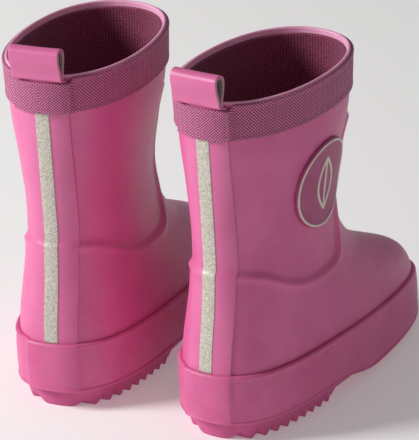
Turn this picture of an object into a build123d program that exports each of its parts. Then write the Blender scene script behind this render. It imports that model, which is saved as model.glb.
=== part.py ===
from build123d import *
from functools import lru_cache
from math import hypot
import os

os.makedirs("parts", exist_ok=True)

# A pair of child's rubber rain boots. One boot is modelled in its own frame: X points to the
# outer side of the foot, Y forward from the back of the heel, Z up from the ground. The second
# boot is its mirror image.

# Driving dimensions, millimetres
sole_length = 195.0        # foxing, heel to toe
sole_outer = 36.3          # half width on the outer side
sole_outer_at = 68.0       # where that side is widest, from the heel
sole_inner = 40.5          # half width on the inner side
sole_inner_at = 103.0
rim_height = 190.0
rim_depth = 115.0          # rim, front to back
rim_width = 76.4
rim_back = 12.0            # rim's back edge, from the back of the heel
ankle_height = 108.0
ankle_depth = 99.0
ankle_width = 57.4
ankle_back = 12.3
toe_wall = 24.0            # height where the upper starts to curve over the toes
pair_spacing = 104.0       # from boot axis to boot axis
toe_out = 5.5              # degrees that each boot points outwards
heel_pivot = 49.0          # the boot turns about this point, from the heel

# Walls and layers
shell_wall = 2.0
ply_wall = 0.8
lining_wall = 0.8
overlay_wall = 0.9
strip_wall = 1.0
foxing_wall = 2.5
tape_wall = 1.3
reflector_wall = 0.3
fit_gap = 0.3              # between pieces that move past each other
seat_gap = 0.05            # between the outsole's side and the foxing around it
margin = 20.0              # how far a cutting shape runs past the boot

# Sole
outsole_top = 12.0
filler_wall = 6.0
board_wall = 2.0
footbed_wall = 3.6
footbed_side_gap = 1.6
arch_height = 6.0
arch_start = 74.0
arch_end = 113.0
arch_slope = 2.0           # how far each end of the arch leans
tread_end_gap = 3.0        # from each end of the sole to the first tooth
tread_pitch = 7.3
tread_land = 2.2
tread_depth = 3.4
tread_bevel = 0.9          # how far the sole draws in towards the ground
centre_land = 30.0         # plain rib along the middle of the tread
foxing_heel_bottom = 10.5
foxing_toe_bottom = 4.8
foxing_heel_top = 39.3
foxing_mid_top = 36.2
foxing_toe_top = 28.6
foxing_hump = 0.8          # how far the foxing swells over the back strip

# Trim
tape_height = 20.0
tape_below_rim = 1.0
tape_below_rim_at_loop = 3.5
strip_width = 28.4
reflector_width = 8.0
reflector_end_gap = 0.5
overlay_back_height = 93.0
overlay_side_height = 76.0  # lowest place of its edge, on each side
overlay_front_height = 152.0
overlay_side_at = 72.0     # where the edge starts to turn up
overlay_turn = 90.0        # how far forward it would run without turning
overlay_rise = (97.0, 108.0)  # forward and height at the end of the turn
overlay_lean = 9.0         # how far forward the edge leans from there to its top
lining_below_rim = 3.0
counter_height = 62.0
counter_length = 55.0
puff_start = 150.0

# Badge on the outer side of the shaft
badge_forward = 74.0
badge_height = 127.0
badge_radius = 25.0
badge_wall = 2.2
badge_relief = 0.8
ring_width = 1.2
ring_inset = 0.5
leaf_length = 32.0
leaf_width = 15.0
leaf_line = 1.3           # width of the leaf's outline and of its midrib

# Pull loop
loop_width = 28.8
loop_ply = 1.1
loop_webbing = 0.8
loop_depth = 9.5           # widest, front to back
loop_rise = 16.2           # above its hinge line
loop_leave = 0.35          # curve handles of its sides, as shares of their height
loop_arrive = 0.5
loop_opening = 0.74        # height of the opening, as a share of the room inside
tail_height = 15.6
tails_below_rim = 2.4

upper_base = overlay_wall + foxing_wall      # from the foxing's face to the upper's face
wide = 3 * sole_length                       # wider than anything that it cuts
loop_half = loop_ply + loop_webbing          # half of the loop's thickness at its root
tails_top = rim_height - tails_below_rim
loop_axis_height = tails_top + fit_gap + loop_half
loop_axis_forward = rim_back - fit_gap - loop_half

# Foot levels, from the toe wall up to the ankle: share of the height, share of the toe's
# reach, share of the heel's reach, share of the sole's shape
foot_levels = (
    (0.00, 1.00, 1.00, 1.00),
    (0.13, 0.96, 0.98, 0.97),
    (0.23, 0.88, 0.89, 0.90),
    (0.30, 0.775, 0.80, 0.76),
    (0.37, 0.63, 0.69, 0.61),
    (0.45, 0.46, 0.53, 0.46),
    (0.55, 0.27, 0.35, 0.30),
    (0.67, 0.13, 0.19, 0.15),
    (0.81, 0.04, 0.06, 0.05),
    (1.00, 0.00, 0.00, 0.00),
)
# Shaft levels, from the ankle up to the rim: share of the height, share of the widening
shaft_levels = ((0.33, 0.33), (0.66, 0.84), (1.00, 1.00))
heel_square = 0.72         # how square the sole's heel end is, as a curve handle
round_square = 0.61        # the same for every other end


def mix(start, end, share):
    return start + (end - start) * share


def section_levels():
    """Height, back, front, outer and inner half width, where each is widest, heel squareness."""
    toe = sole_length - upper_base
    ankle_front = ankle_back + ankle_depth
    rim_front = rim_back + rim_depth
    ankle_middle = ankle_back + ankle_depth / 2
    rim_middle = rim_back + rim_depth / 2
    levels = []
    for rise, reach, heel, foot in foot_levels:
        levels.append((
            mix(toe_wall, ankle_height, rise),
            mix(ankle_back, upper_base, heel),
            mix(ankle_front, toe, reach),
            mix(ankle_width / 2, sole_outer - upper_base, foot),
            mix(ankle_width / 2, sole_inner - upper_base, foot),
            mix(ankle_middle, sole_outer_at, foot),
            mix(ankle_middle, sole_inner_at, foot),
            mix(round_square, heel_square, foot),
        ))
    for rise, widen in shaft_levels:
        middle = mix(ankle_middle, rim_middle, widen)
        half_width = mix(ankle_width, rim_width, widen) / 2
        levels.append((
            mix(ankle_height, rim_height, rise),
            mix(ankle_back, rim_back, widen),
            mix(ankle_front, rim_front, widen),
            half_width,
            half_width,
            middle,
            middle,
            round_square,
        ))
    return [(0.0,) + levels[0][1:]] + levels


def grown_levels(grow):
    """The same levels with the skin moved outwards by grow, further where the skin leans back."""
    levels = section_levels()
    grown = []
    for i, level in enumerate(levels):
        height, back, front, outer, inner, outer_at, inner_at, square = level
        below = levels[max(i - 1, 1)]
        above = levels[min(i + 1, len(levels) - 1)]
        run = max(below[2] - above[2], 0.0)
        climb = above[0] - below[0]
        upright = i < 2 or i == len(levels) - 1
        stretch = 1.0 if upright else hypot(run, climb) / climb
        side = grow * (1 + stretch) / 2
        grown.append((
            height,
            back - grow,
            front + grow * stretch,
            outer + side,
            inner + side,
            outer_at,
            inner_at,
            square,
        ))
    return grown


def draw_outline(level):
    """Four curves round one level: heel to each side, and each side to the toe."""
    height, back, front, outer, inner, outer_at, inner_at, square = level
    for side_x, side_y in ((outer, outer_at), (-inner, inner_at)):
        for end_y, handle in ((back, square), (front, round_square)):
            Bezier(
                (0, end_y),
                (side_x * handle, end_y),
                (side_x, mix(side_y, end_y, handle)),
                (side_x, side_y),
            )


@lru_cache(maxsize=None)
def boot_form(grow):
    """The whole boot as one solid, from the ground to the rim."""
    with BuildPart() as form:
        for level in grown_levels(grow):
            with BuildSketch(Plane.XY.offset(level[0])):
                with BuildLine():
                    draw_outline(level)
                make_face()
        loft(ruled=True)
    return form.part


@lru_cache(maxsize=None)
def boot_layer(outer_grow, inner_grow):
    """The skin between two sizes of the boot, from the ground to the rim."""
    with BuildPart() as layer:
        add(boot_form(outer_grow))
        add(boot_form(inner_grow), mode=Mode.SUBTRACT)
    return layer.part


@lru_cache(maxsize=None)
def height_band(low, high):
    with BuildPart() as band:
        with BuildSketch(Plane.XY.offset(low)):
            with Locations((0, sole_length / 2)):
                Rectangle(wide, wide)
        extrude(amount=high - low)
    return band.part


@lru_cache(maxsize=None)
def back_band(width, low, high):
    """A box round the back of the boot, centred on the back seam."""
    with BuildPart() as band:
        with BuildSketch(Plane.XY.offset(low)):
            Rectangle(width, ankle_depth)
        extrude(amount=high - low)
    return band.part


@lru_cache(maxsize=None)
def foxing_region():
    """Side outline of the foxing band, wider than the boot."""
    start, end = -margin, sole_length + margin
    with BuildPart() as region:
        with BuildSketch(Plane.YZ):
            with BuildLine():
                Spline((start, foxing_heel_top), (sole_length / 2, foxing_mid_top), (end, foxing_toe_top))
                Polyline(
                    (end, foxing_toe_top),
                    (end, foxing_toe_bottom),
                    (arch_end, foxing_toe_bottom),
                    (arch_start, foxing_heel_bottom),
                    (start, foxing_heel_bottom),
                    (start, foxing_heel_top),
                )
            make_face()
        extrude(amount=wide / 2, both=True)
    return region.part


@lru_cache(maxsize=None)
def overlay_region():
    """Side outline of the second rubber layer: low round the ankle, high up the front."""
    start, end = -margin, sole_length + margin
    turn_end = overlay_rise[0] + overlay_lean
    with BuildPart() as region:
        with BuildSketch(Plane.YZ):
            with BuildLine():
                Line((start, outsole_top), (start, overlay_back_height))
                Line((start, overlay_back_height), (ankle_back, overlay_back_height))
                Bezier(
                    (ankle_back, overlay_back_height),
                    (overlay_side_at / 2, overlay_back_height),
                    (overlay_side_at / 2, overlay_side_height),
                    (overlay_side_at, overlay_side_height),
                )
                Bezier(
                    (overlay_side_at, overlay_side_height),
                    (overlay_turn, overlay_side_height),
                    (mix(overlay_turn, overlay_rise[0], 0.5), overlay_side_height),
                    overlay_rise,
                )
                Line(overlay_rise, (turn_end, overlay_front_height))
                Polyline(
                    (turn_end, overlay_front_height),
                    (end, overlay_front_height),
                    (end, outsole_top),
                    (start, outsole_top),
                )
            make_face()
        extrude(amount=wide / 2, both=True)
    return region.part


def tread_line(start, end):
    """Saw-tooth points along the ground, with a flat land on every tooth."""
    points = []
    count = int((end - start) / tread_pitch)
    for i in range(count):
        tooth = start + i * tread_pitch
        points.append((tooth, 0))
        points.append((tooth + tread_land, 0))
        points.append((tooth + (tread_land + tread_pitch) / 2, tread_depth))
    points.append((start + count * tread_pitch, 0))
    return points


def sole_side(heel_points, forefoot_points):
    """Side outline of the outsole from its two ground lines, as a solid wider than the boot."""
    with BuildPart() as side:
        with BuildSketch(Plane.YZ):
            with BuildLine():
                Polyline(
                    (-margin, outsole_top),
                    (-margin, 0),
                    *heel_points,
                    (arch_start - arch_slope, 0),
                    (arch_start, arch_height),
                    (arch_end - arch_slope, arch_height),
                    *forefoot_points,
                    (sole_length + margin, 0),
                    (sole_length + margin, outsole_top),
                    close=True,
                )
            make_face()
        extrude(amount=wide / 2, both=True)
    return side.part


def draw_teardrop(inset):
    """The pull loop's side outline, seen along the hinge line, which is at the origin."""
    root = loop_half - inset
    belly = loop_depth / 2 - inset
    shoulder = loop_rise - loop_depth / 2
    top = loop_rise - inset
    ThreePointArc((-root, 0), (0, -root), (root, 0))
    leave, arrive = shoulder * loop_leave, shoulder * loop_arrive
    Bezier((root, 0), (root, leave), (belly, arrive), (belly, shoulder))
    ThreePointArc((belly, shoulder), (0, top), (-belly, shoulder))
    Bezier((-belly, shoulder), (-belly, arrive), (-root, leave), (-root, 0))


def draw_leaf(tip, side, mode=Mode.ADD):
    """A pointed leaf standing upright, centred."""
    with BuildLine() as outline:
        ThreePointArc((0, -tip), (side, 0), (0, tip))
        ThreePointArc((0, tip), (-side, 0), (0, -tip))
    make_face(outline.edges(), mode=mode)


loop_plane = Plane(
    origin=(0, loop_axis_forward, loop_axis_height), x_dir=(0, 1, 0), z_dir=(1, 0, 0)
)
badge_plane = Plane(origin=(0, badge_forward, badge_height), x_dir=(0, 1, 0), z_dir=(1, 0, 0))

inner_form = -(shell_wall + ply_wall + lining_wall)
board_bottom = outsole_top + filler_wall
board_top = board_bottom + board_wall
strip_face = overlay_wall + strip_wall
tape_bottom = rim_height - tape_below_rim - tape_height
lining_top = rim_height - lining_below_rim

pieces = {}

# Outsole: toothed edges, a plain rib along the middle, drawn in towards the ground
heel_tread = tread_line(tread_end_gap, arch_start - arch_slope)
forefoot_tread = tread_line(arch_end, sole_length - tread_end_gap)
with BuildPart() as sole_block:
    for height, draw_in in ((0, tread_bevel), (foxing_toe_bottom, 0), (outsole_top, 0)):
        outline = grown_levels(overlay_wall - seat_gap - draw_in)[0]
        with BuildSketch(Plane.XY.offset(height)):
            with BuildLine():
                draw_outline(outline)
            make_face()
    loft(ruled=True)
with BuildPart() as centre_rib:
    with BuildSketch():
        with Locations((0, sole_length / 2)):
            Rectangle(centre_land, wide)
    extrude(amount=outsole_top)
    add(sole_side([(0, 0)], [(arch_end, 0)]), mode=Mode.INTERSECT)
with BuildPart() as outsole:
    add(sole_side(heel_tread, forefoot_tread))
    add(centre_rib.part)
    add(sole_block.part, mode=Mode.INTERSECT)
pieces["outsole"] = outsole

# Sole filling, board and loose footbed, stacked inside the shell
with BuildPart() as filler:
    add(boot_form(-shell_wall))
    add(height_band(outsole_top, board_bottom), mode=Mode.INTERSECT)
pieces["midsole_filler"] = filler

with BuildPart() as board:
    add(boot_form(-shell_wall))
    add(height_band(board_bottom, board_top), mode=Mode.INTERSECT)
pieces["insole_board"] = board

footbed_grow = inner_form - footbed_side_gap
footbed_bottom = board_top + fit_gap
with BuildPart() as footbed:
    with BuildSketch(Plane.XY.offset(footbed_bottom)):
        with BuildLine():
            draw_outline(grown_levels(footbed_grow)[0])
        make_face()
    extrude(amount=footbed_wall)
    fillet(footbed.faces().sort_by(Axis.Z)[-1].edges(), radius=footbed_wall / 3)
pieces["footbed"] = footbed

# Upper shell: the moulded rubber wall of foot and leg
with BuildPart() as shell:
    add(boot_layer(0.0, -shell_wall))
    add(height_band(outsole_top, rim_height), mode=Mode.INTERSECT)
pieces["upper_shell"] = shell

# Layer inside the shell: heel counter, toe puff and fabric ply, side by side
ply_face = -shell_wall - ply_wall
with BuildPart() as heel_zone:
    with BuildSketch(Plane.XY.offset(board_top)):
        with Locations((0, counter_length - wide / 2)):
            Rectangle(wide, wide)
    extrude(amount=counter_height - board_top)
with BuildPart() as toe_zone:
    with BuildSketch(Plane.XY.offset(board_top)):
        with Locations((0, puff_start + wide / 2)):
            Rectangle(wide, wide)
    extrude(amount=rim_height)
with BuildPart() as counter:
    add(boot_layer(-shell_wall, ply_face))
    add(heel_zone.part, mode=Mode.INTERSECT)
pieces["heel_counter"] = counter
with BuildPart() as puff:
    add(boot_layer(-shell_wall, ply_face))
    add(toe_zone.part, mode=Mode.INTERSECT)
pieces["toe_puff"] = puff
with BuildPart() as ply:
    add(boot_layer(-shell_wall, ply_face))
    add(height_band(board_top, lining_top), mode=Mode.INTERSECT)
    add(heel_zone.part, mode=Mode.SUBTRACT)
    add(toe_zone.part, mode=Mode.SUBTRACT)
pieces["fabric_ply"] = ply

with BuildPart() as lining:
    add(boot_layer(ply_face, inner_form))
    add(height_band(board_top, lining_top), mode=Mode.INTERSECT)
pieces["lining"] = lining

# Second rubber layer over heel, foot and the front of the shaft
with BuildPart() as overlay:
    add(boot_layer(overlay_wall, 0.0))
    add(overlay_region(), mode=Mode.INTERSECT)
pieces["ankle_overlay"] = overlay

# Back strip, from under the foxing to under the binding tape, over the second layer's edge
tails_bottom = tails_top - tail_height
with BuildPart() as strip_foot:
    add(boot_layer(strip_face, overlay_wall))
    add(back_band(strip_width, outsole_top, overlay_back_height), mode=Mode.INTERSECT)
with BuildPart() as strip:
    add(boot_layer(strip_face, 0.0))
    add(back_band(strip_width, overlay_back_height, tails_bottom), mode=Mode.INTERSECT)
    add(strip_foot.part)
pieces["back_strip"] = strip

with BuildPart() as reflector:
    add(boot_layer(strip_face + reflector_wall, strip_face))
    add(
        back_band(reflector_width, foxing_heel_top + reflector_end_gap, tape_bottom - reflector_end_gap),
        mode=Mode.INTERSECT,
    )
pieces["reflective_tape"] = reflector

# Foxing band: swells where it passes over the back strip
hump_face = upper_base + foxing_hump
hump_width = strip_width + 2 * foxing_hump
with BuildPart() as foxing_hump_part:
    add(boot_layer(hump_face, strip_face))
    add(back_band(strip_width, 0, rim_height), mode=Mode.INTERSECT)
    add(foxing_region(), mode=Mode.INTERSECT)
with BuildPart() as foxing_hump_sides:
    add(boot_layer(hump_face, overlay_wall))
    add(back_band(hump_width, 0, rim_height), mode=Mode.INTERSECT)
    add(back_band(strip_width, 0, rim_height), mode=Mode.SUBTRACT)
    add(foxing_region(), mode=Mode.INTERSECT)
with BuildPart() as foxing:
    add(boot_layer(upper_base, overlay_wall))
    add(foxing_region(), mode=Mode.INTERSECT)
    add(back_band(hump_width, 0, rim_height), mode=Mode.SUBTRACT)
    add(foxing_hump_sides.part)
    add(foxing_hump_part.part)
pieces["foxing_band"] = foxing

# Tails of the pull loop, flat against the shell under the tape
with BuildPart() as tails:
    add(boot_layer(strip_face, 0.0))
    add(back_band(loop_width, tails_bottom, tails_top), mode=Mode.INTERSECT)
pieces["loop_tails"] = tails

# Binding tape: lies on the shell, and stands out where it covers the loop's tails
tape_top = rim_height - tape_below_rim
tape_top_at_loop = rim_height - tape_below_rim_at_loop
tape_face = strip_face + tape_wall
tent_width = loop_width + 2 * fit_gap
tent_span = tent_width + 2 * tape_wall
with BuildPart() as tape_tent:
    add(boot_layer(tape_face, strip_face))
    add(back_band(tent_width, tape_bottom, tape_top_at_loop), mode=Mode.INTERSECT)
with BuildPart() as tape_tent_sides:
    add(boot_layer(tape_face, 0.0))
    add(back_band(tent_span, tape_bottom, tape_top_at_loop), mode=Mode.INTERSECT)
    add(back_band(tent_width, tape_bottom, tape_top_at_loop), mode=Mode.SUBTRACT)
with BuildPart() as tape:
    add(boot_layer(tape_wall, 0.0))
    add(height_band(tape_bottom, tape_top), mode=Mode.INTERSECT)
    add(back_band(tent_span, 0, rim_height), mode=Mode.SUBTRACT)
    add(tape_tent_sides.part)
    add(tape_tent.part)
pieces["binding_tape"] = tape

# Pull loop: a rubber ply outside, webbing inside, round at the hinge line
with BuildPart() as loop_core:
    with BuildSketch(loop_plane):
        with BuildLine():
            draw_teardrop(loop_ply)
        make_face()
    extrude(amount=loop_width, both=True)
with BuildPart() as loop:
    with BuildSketch(loop_plane):
        with BuildLine():
            draw_teardrop(0.0)
        make_face()
    extrude(amount=loop_width / 2, both=True)
    add(loop_core.part, mode=Mode.SUBTRACT)
pieces["pull_loop"] = loop

gap_rise = (loop_rise - loop_half) * loop_opening / 2
with BuildPart() as webbing:
    with BuildSketch(loop_plane):
        with BuildLine():
            draw_teardrop(loop_ply)
        make_face()
        with Locations((0, loop_rise - loop_half - gap_rise)):
            Ellipse(loop_depth / 2 - loop_half, gap_rise, mode=Mode.SUBTRACT)
    extrude(amount=loop_width / 2, both=True)
pieces["loop_webbing"] = webbing

# Badge: a disc that follows the shaft, with a raised ring and a plain leaf
relief_face = badge_wall + badge_relief
with BuildPart() as disc_zone:
    with BuildSketch(badge_plane):
        Circle(badge_radius)
    extrude(amount=wide / 2)
with BuildPart() as disc:
    add(boot_layer(badge_wall, 0.0))
    add(disc_zone.part, mode=Mode.INTERSECT)
pieces["badge_disc"] = disc

with BuildPart() as ring_zone:
    with BuildSketch(badge_plane):
        Circle(badge_radius - ring_inset)
        Circle(badge_radius - ring_inset - ring_width, mode=Mode.SUBTRACT)
    extrude(amount=wide / 2)
with BuildPart() as ring:
    add(boot_layer(relief_face, badge_wall))
    add(ring_zone.part, mode=Mode.INTERSECT)
pieces["badge_ring"] = ring

with BuildPart() as leaf_zone:
    with BuildSketch(badge_plane):
        draw_leaf(leaf_length / 2, leaf_width / 2)
        draw_leaf(leaf_length / 2 - 2 * leaf_line, leaf_width / 2 - leaf_line, mode=Mode.SUBTRACT)
        Rectangle(leaf_line, leaf_length - 2 * leaf_line)
    extrude(amount=wide / 2)
with BuildPart() as emblem:
    add(boot_layer(relief_face, badge_wall))
    add(leaf_zone.part, mode=Mode.INTERSECT)
pieces["badge_emblem"] = emblem

# Place the right boot, mirror it for the left, and centre the pair front to back
stand = (
    Pos(pair_spacing / 2, heel_pivot, 0)
    * Rot(0, 0, -toe_out)
    * Pos(0, -heel_pivot, 0)
)
placed = {name: stand * piece.part for name, piece in pieces.items()}
lowest = min(piece.bounding_box().min.Y for piece in placed.values())
highest = max(piece.bounding_box().max.Y for piece in placed.values())
centred = Pos(0, -(lowest + highest) / 2, 0)

for name, piece in placed.items():
    right = centred * piece
    left = right.mirror(Plane.YZ)
    for side, solid in (("right", right), ("left", left)):
        solid.label = f"{side}_{name}"
        export_step(solid, f"parts/{side}_{name}.step")

hinge = (centred * stand * Pos(0, loop_axis_forward, loop_axis_height)).position
toe_line = footbed_grow + sole_length - upper_base
lift = (centred * stand * Pos(0, toe_line, footbed_bottom)).position
badge = (centred * stand * Pos(0, badge_forward, badge_height)).position
print("loop hinge", hinge)
print("footbed hinge", lift)
print("badge axis", badge)
print("shift", -(lowest + highest) / 2)
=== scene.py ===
import math

import bpy
import numpy as np
from mathutils import Matrix, Vector


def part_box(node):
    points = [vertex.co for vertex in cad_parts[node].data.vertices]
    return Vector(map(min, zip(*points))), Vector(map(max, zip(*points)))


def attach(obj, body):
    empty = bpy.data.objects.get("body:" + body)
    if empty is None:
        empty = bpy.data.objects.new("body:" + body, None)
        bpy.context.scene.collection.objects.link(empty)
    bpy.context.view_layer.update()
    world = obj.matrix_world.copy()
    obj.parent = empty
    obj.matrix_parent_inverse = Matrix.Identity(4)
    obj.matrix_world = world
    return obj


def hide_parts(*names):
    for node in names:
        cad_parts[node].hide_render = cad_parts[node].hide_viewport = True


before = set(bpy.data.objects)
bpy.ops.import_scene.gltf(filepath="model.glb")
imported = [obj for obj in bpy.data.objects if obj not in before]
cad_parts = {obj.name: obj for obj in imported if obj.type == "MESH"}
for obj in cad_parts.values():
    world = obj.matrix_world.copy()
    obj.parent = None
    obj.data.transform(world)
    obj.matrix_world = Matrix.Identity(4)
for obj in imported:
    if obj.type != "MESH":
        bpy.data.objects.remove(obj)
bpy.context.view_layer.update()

# The boot's own frame, in millimetres: x to the outer side, y forward from the heel, z up
bootForm = {
    "soleLength": 195.0,
    "soleOuter": 36.3,
    "soleOuterAt": 68.0,
    "soleInner": 40.5,
    "soleInnerAt": 103.0,
    "rimHeight": 190.0,
    "rimDepth": 115.0,
    "rimWidth": 76.4,
    "rimBack": 12.0,
    "ankleHeight": 108.0,
    "ankleDepth": 99.0,
    "ankleWidth": 57.4,
    "ankleBack": 12.3,
    "toeWall": 24.0,
    "upperBase": 3.4,  # from the foxing's face in to the upper's face
    "heelSquare": 0.72,
    "roundSquare": 0.61,
    "pairSpacing": 104.0,
    "toeOut": 5.5,
    "heelPivot": 49.0,
    "leanLimit": 2.4,  # most that a sloping skin is thickened forwards
    # rise, toe's reach, heel's reach and sole's shape, as shares, from toe wall to ankle
    "footLevels": (
        (0.00, 1.00, 1.00, 1.00),
        (0.13, 0.96, 0.98, 0.97),
        (0.23, 0.88, 0.89, 0.90),
        (0.30, 0.775, 0.80, 0.76),
        (0.37, 0.63, 0.69, 0.61),
        (0.45, 0.46, 0.53, 0.46),
        (0.55, 0.27, 0.35, 0.30),
        (0.67, 0.13, 0.19, 0.15),
        (0.81, 0.04, 0.06, 0.05),
        (1.00, 0.00, 0.00, 0.00),
    ),
    # rise and widening, as shares, from ankle to rim
    "shaftLevels": ((0.33, 0.33), (0.66, 0.84), (1.00, 1.00)),
}
layers = {
    "shellWall": 2.0,
    "plyWall": 0.8,
    "liningWall": 0.8,
    "stripWall": 1.0,
    "tapeWall": 1.3,
    "reflectorWall": 0.3,
    "tuck": 0.3,  # how far a laid-on piece reaches into the one below it
}


def mix(start, end, share):
    return start + (end - start) * share


# Soft step from 0 to 1.
def ease(value):
    value = np.clip(value, 0.0, 1.0)
    return value * value * (3 - 2 * value)


def levelTable():
    f = bootForm
    toeEnd = f["soleLength"] - f["upperBase"]
    ankleFront = f["ankleBack"] + f["ankleDepth"]
    ankleMiddle = f["ankleBack"] + f["ankleDepth"] / 2
    rimFront = f["rimBack"] + f["rimDepth"]
    rimMiddle = f["rimBack"] + f["rimDepth"] / 2
    rows = []
    for rise, reach, heel, foot in f["footLevels"]:
        rows.append((
            mix(f["toeWall"], f["ankleHeight"], rise),
            mix(f["ankleBack"], f["upperBase"], heel),
            mix(ankleFront, toeEnd, reach),
            mix(f["ankleWidth"] / 2, f["soleOuter"] - f["upperBase"], foot),
            mix(f["ankleWidth"] / 2, f["soleInner"] - f["upperBase"], foot),
            mix(ankleMiddle, f["soleOuterAt"], foot),
            mix(ankleMiddle, f["soleInnerAt"], foot),
            mix(f["roundSquare"], f["heelSquare"], foot),
        ))
    for rise, widen in f["shaftLevels"]:
        middle = mix(ankleMiddle, rimMiddle, widen)
        halfWidth = mix(f["ankleWidth"], f["rimWidth"], widen) / 2
        rows.append((
            mix(f["ankleHeight"], f["rimHeight"], rise),
            mix(f["ankleBack"], f["rimBack"], widen),
            mix(ankleFront, rimFront, widen),
            halfWidth,
            halfWidth,
            middle,
            middle,
            f["roundSquare"],
        ))
    table = np.array(rows)
    ground = table[:1].copy()
    ground[0, 0] = 0.0
    return np.vstack((ground, table))


# Tangents that carry a smooth line through the levels without overshooting them.
def slopesOf(table):
    step = np.diff(table[:, 0])[:, None]
    slope = np.diff(table[:, 1:], axis=0) / step
    tangent = np.zeros_like(table[:, 1:])
    for i in range(1, len(table) - 1):
        before, after = slope[i - 1], slope[i]
        nearAfter = 2 * step[i] + step[i - 1]
        nearBefore = step[i] + 2 * step[i - 1]
        same = before * after > 0
        safeBefore = np.where(same, before, 1.0)
        safeAfter = np.where(same, after, 1.0)
        both = (nearAfter + nearBefore) / (nearAfter / safeBefore + nearBefore / safeAfter)
        tangent[i] = np.where(same, both, 0.0)
    tangent[-1] = slope[-1]
    return tangent


levels = levelTable()
levelSlopes = slopesOf(levels)


def levelAt(height):
    heights = levels[:, 0]
    height = np.clip(height, heights[0], heights[-1])
    i = np.clip(np.searchsorted(heights, height, side="right") - 1, 0, len(heights) - 2)
    step = (heights[i + 1] - heights[i])[..., None]
    t = (height - heights[i])[..., None] / step
    start, end = levels[i, 1:], levels[i + 1, 1:]
    leave, arrive = levelSlopes[i] * step, levelSlopes[i + 1] * step
    return (
        (2 * t**3 - 3 * t**2 + 1) * start
        + (t**3 - 2 * t**2 + t) * leave
        + (3 * t**2 - 2 * t**3) * end
        + (t**3 - t**2) * arrive
    )


# Points on the boot's form grown by grow.
# Turn 0 is the heel, 1 the outer side, 2 the toe and 3 the inner side.
def skin(turn, height, grow):
    turn, height, grow = np.broadcast_arrays(
        np.asarray(turn, float), np.asarray(height, float), np.asarray(grow, float)
    )
    back, front, outer, inner, outerAt, innerAt, square = np.moveaxis(levelAt(height), -1, 0)
    fall = levelAt(height - 1.0)[..., 1] - levelAt(height + 1.0)[..., 1]
    lean = np.clip(np.hypot(1.0, np.maximum(fall / 2, 0.0)), 1.0, bootForm["leanLimit"])
    back = back - grow
    front = front + grow * lean
    side = grow * (1 + lean) / 2
    quarter = np.floor(turn).astype(int) % 4
    part = turn - np.floor(turn)
    t = np.where(quarter % 2 == 0, part, 1 - part)
    onOuter = quarter < 2
    atHeel = (quarter == 0) | (quarter == 3)
    sideX = np.where(onOuter, outer + side, -(inner + side))
    sideY = np.where(onOuter, outerAt, innerAt)
    endY = np.where(atHeel, back, front)
    handle = np.where(atHeel, square, bootForm["roundSquare"])
    b0, b1, b2, b3 = (1 - t) ** 3, 3 * t * (1 - t) ** 2, 3 * t**2 * (1 - t), t**3
    x = (b1 * handle + b2 + b3) * sideX
    y = (b0 + b1) * endY + b2 * mix(sideY, endY, handle) + b3 * sideY
    return np.stack((x, y, height), axis=-1)


# The turn where the skin reaches target along x (axis 0) or y (axis 1).
def turnAt(axis, target, height, grow, low, high):
    shape = np.broadcast(target, height, grow).shape
    low, high = np.full(shape, float(low)), np.full(shape, float(high))
    for _ in range(26):  # halves the range to well under a micrometre
        middle = (low + high) / 2
        short = skin(middle, height, grow)[..., axis] < target
        low, high = np.where(short, middle, low), np.where(short, high, middle)
    return (low + high) / 2


# Turns evenly spaced round the boot at one height.
def evenTurns(count, height):
    fine = np.linspace(0, 4, 2001)
    line = skin(fine, height, 0.0)
    length = np.concatenate(([0], np.cumsum(np.linalg.norm(np.diff(line, axis=0), axis=1))))
    return np.interp(np.arange(count) * length[-1] / count, length, fine)


# From the right boot's own frame to where the right boot stands.
def turned(points, shift=0.0):
    angle = math.radians(bootForm["toeOut"])
    x, y, z = np.moveaxis(np.asarray(points, float), -1, 0)
    y = y - bootForm["heelPivot"]
    return np.stack((
        x * math.cos(angle) + y * math.sin(angle) + bootForm["pairSpacing"] / 2,
        y * math.cos(angle) - x * math.sin(angle) + bootForm["heelPivot"] + shift,
        z,
    ), axis=-1)


shellBack = np.array(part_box("right_upper_shell"))[0][1] * 1000
formBack = turned(skin(np.linspace(0, 4, 2001), bootForm["toeWall"], 0.0))[:, 1].min()
forwardShift = shellBack - formBack
print("boots stand", round(forwardShift, 3), "mm from their heels")


def standOn(points, side):
    placed = turned(points, forwardShift) / 1000
    if side == "left":
        placed = placed * (-1, 1, 1)
    return placed


def runLengths(points, axis):
    steps = np.linalg.norm(np.diff(points, axis=axis), axis=2).mean(axis=1 - axis)
    return np.concatenate(([0], np.cumsum(steps)))


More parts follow.
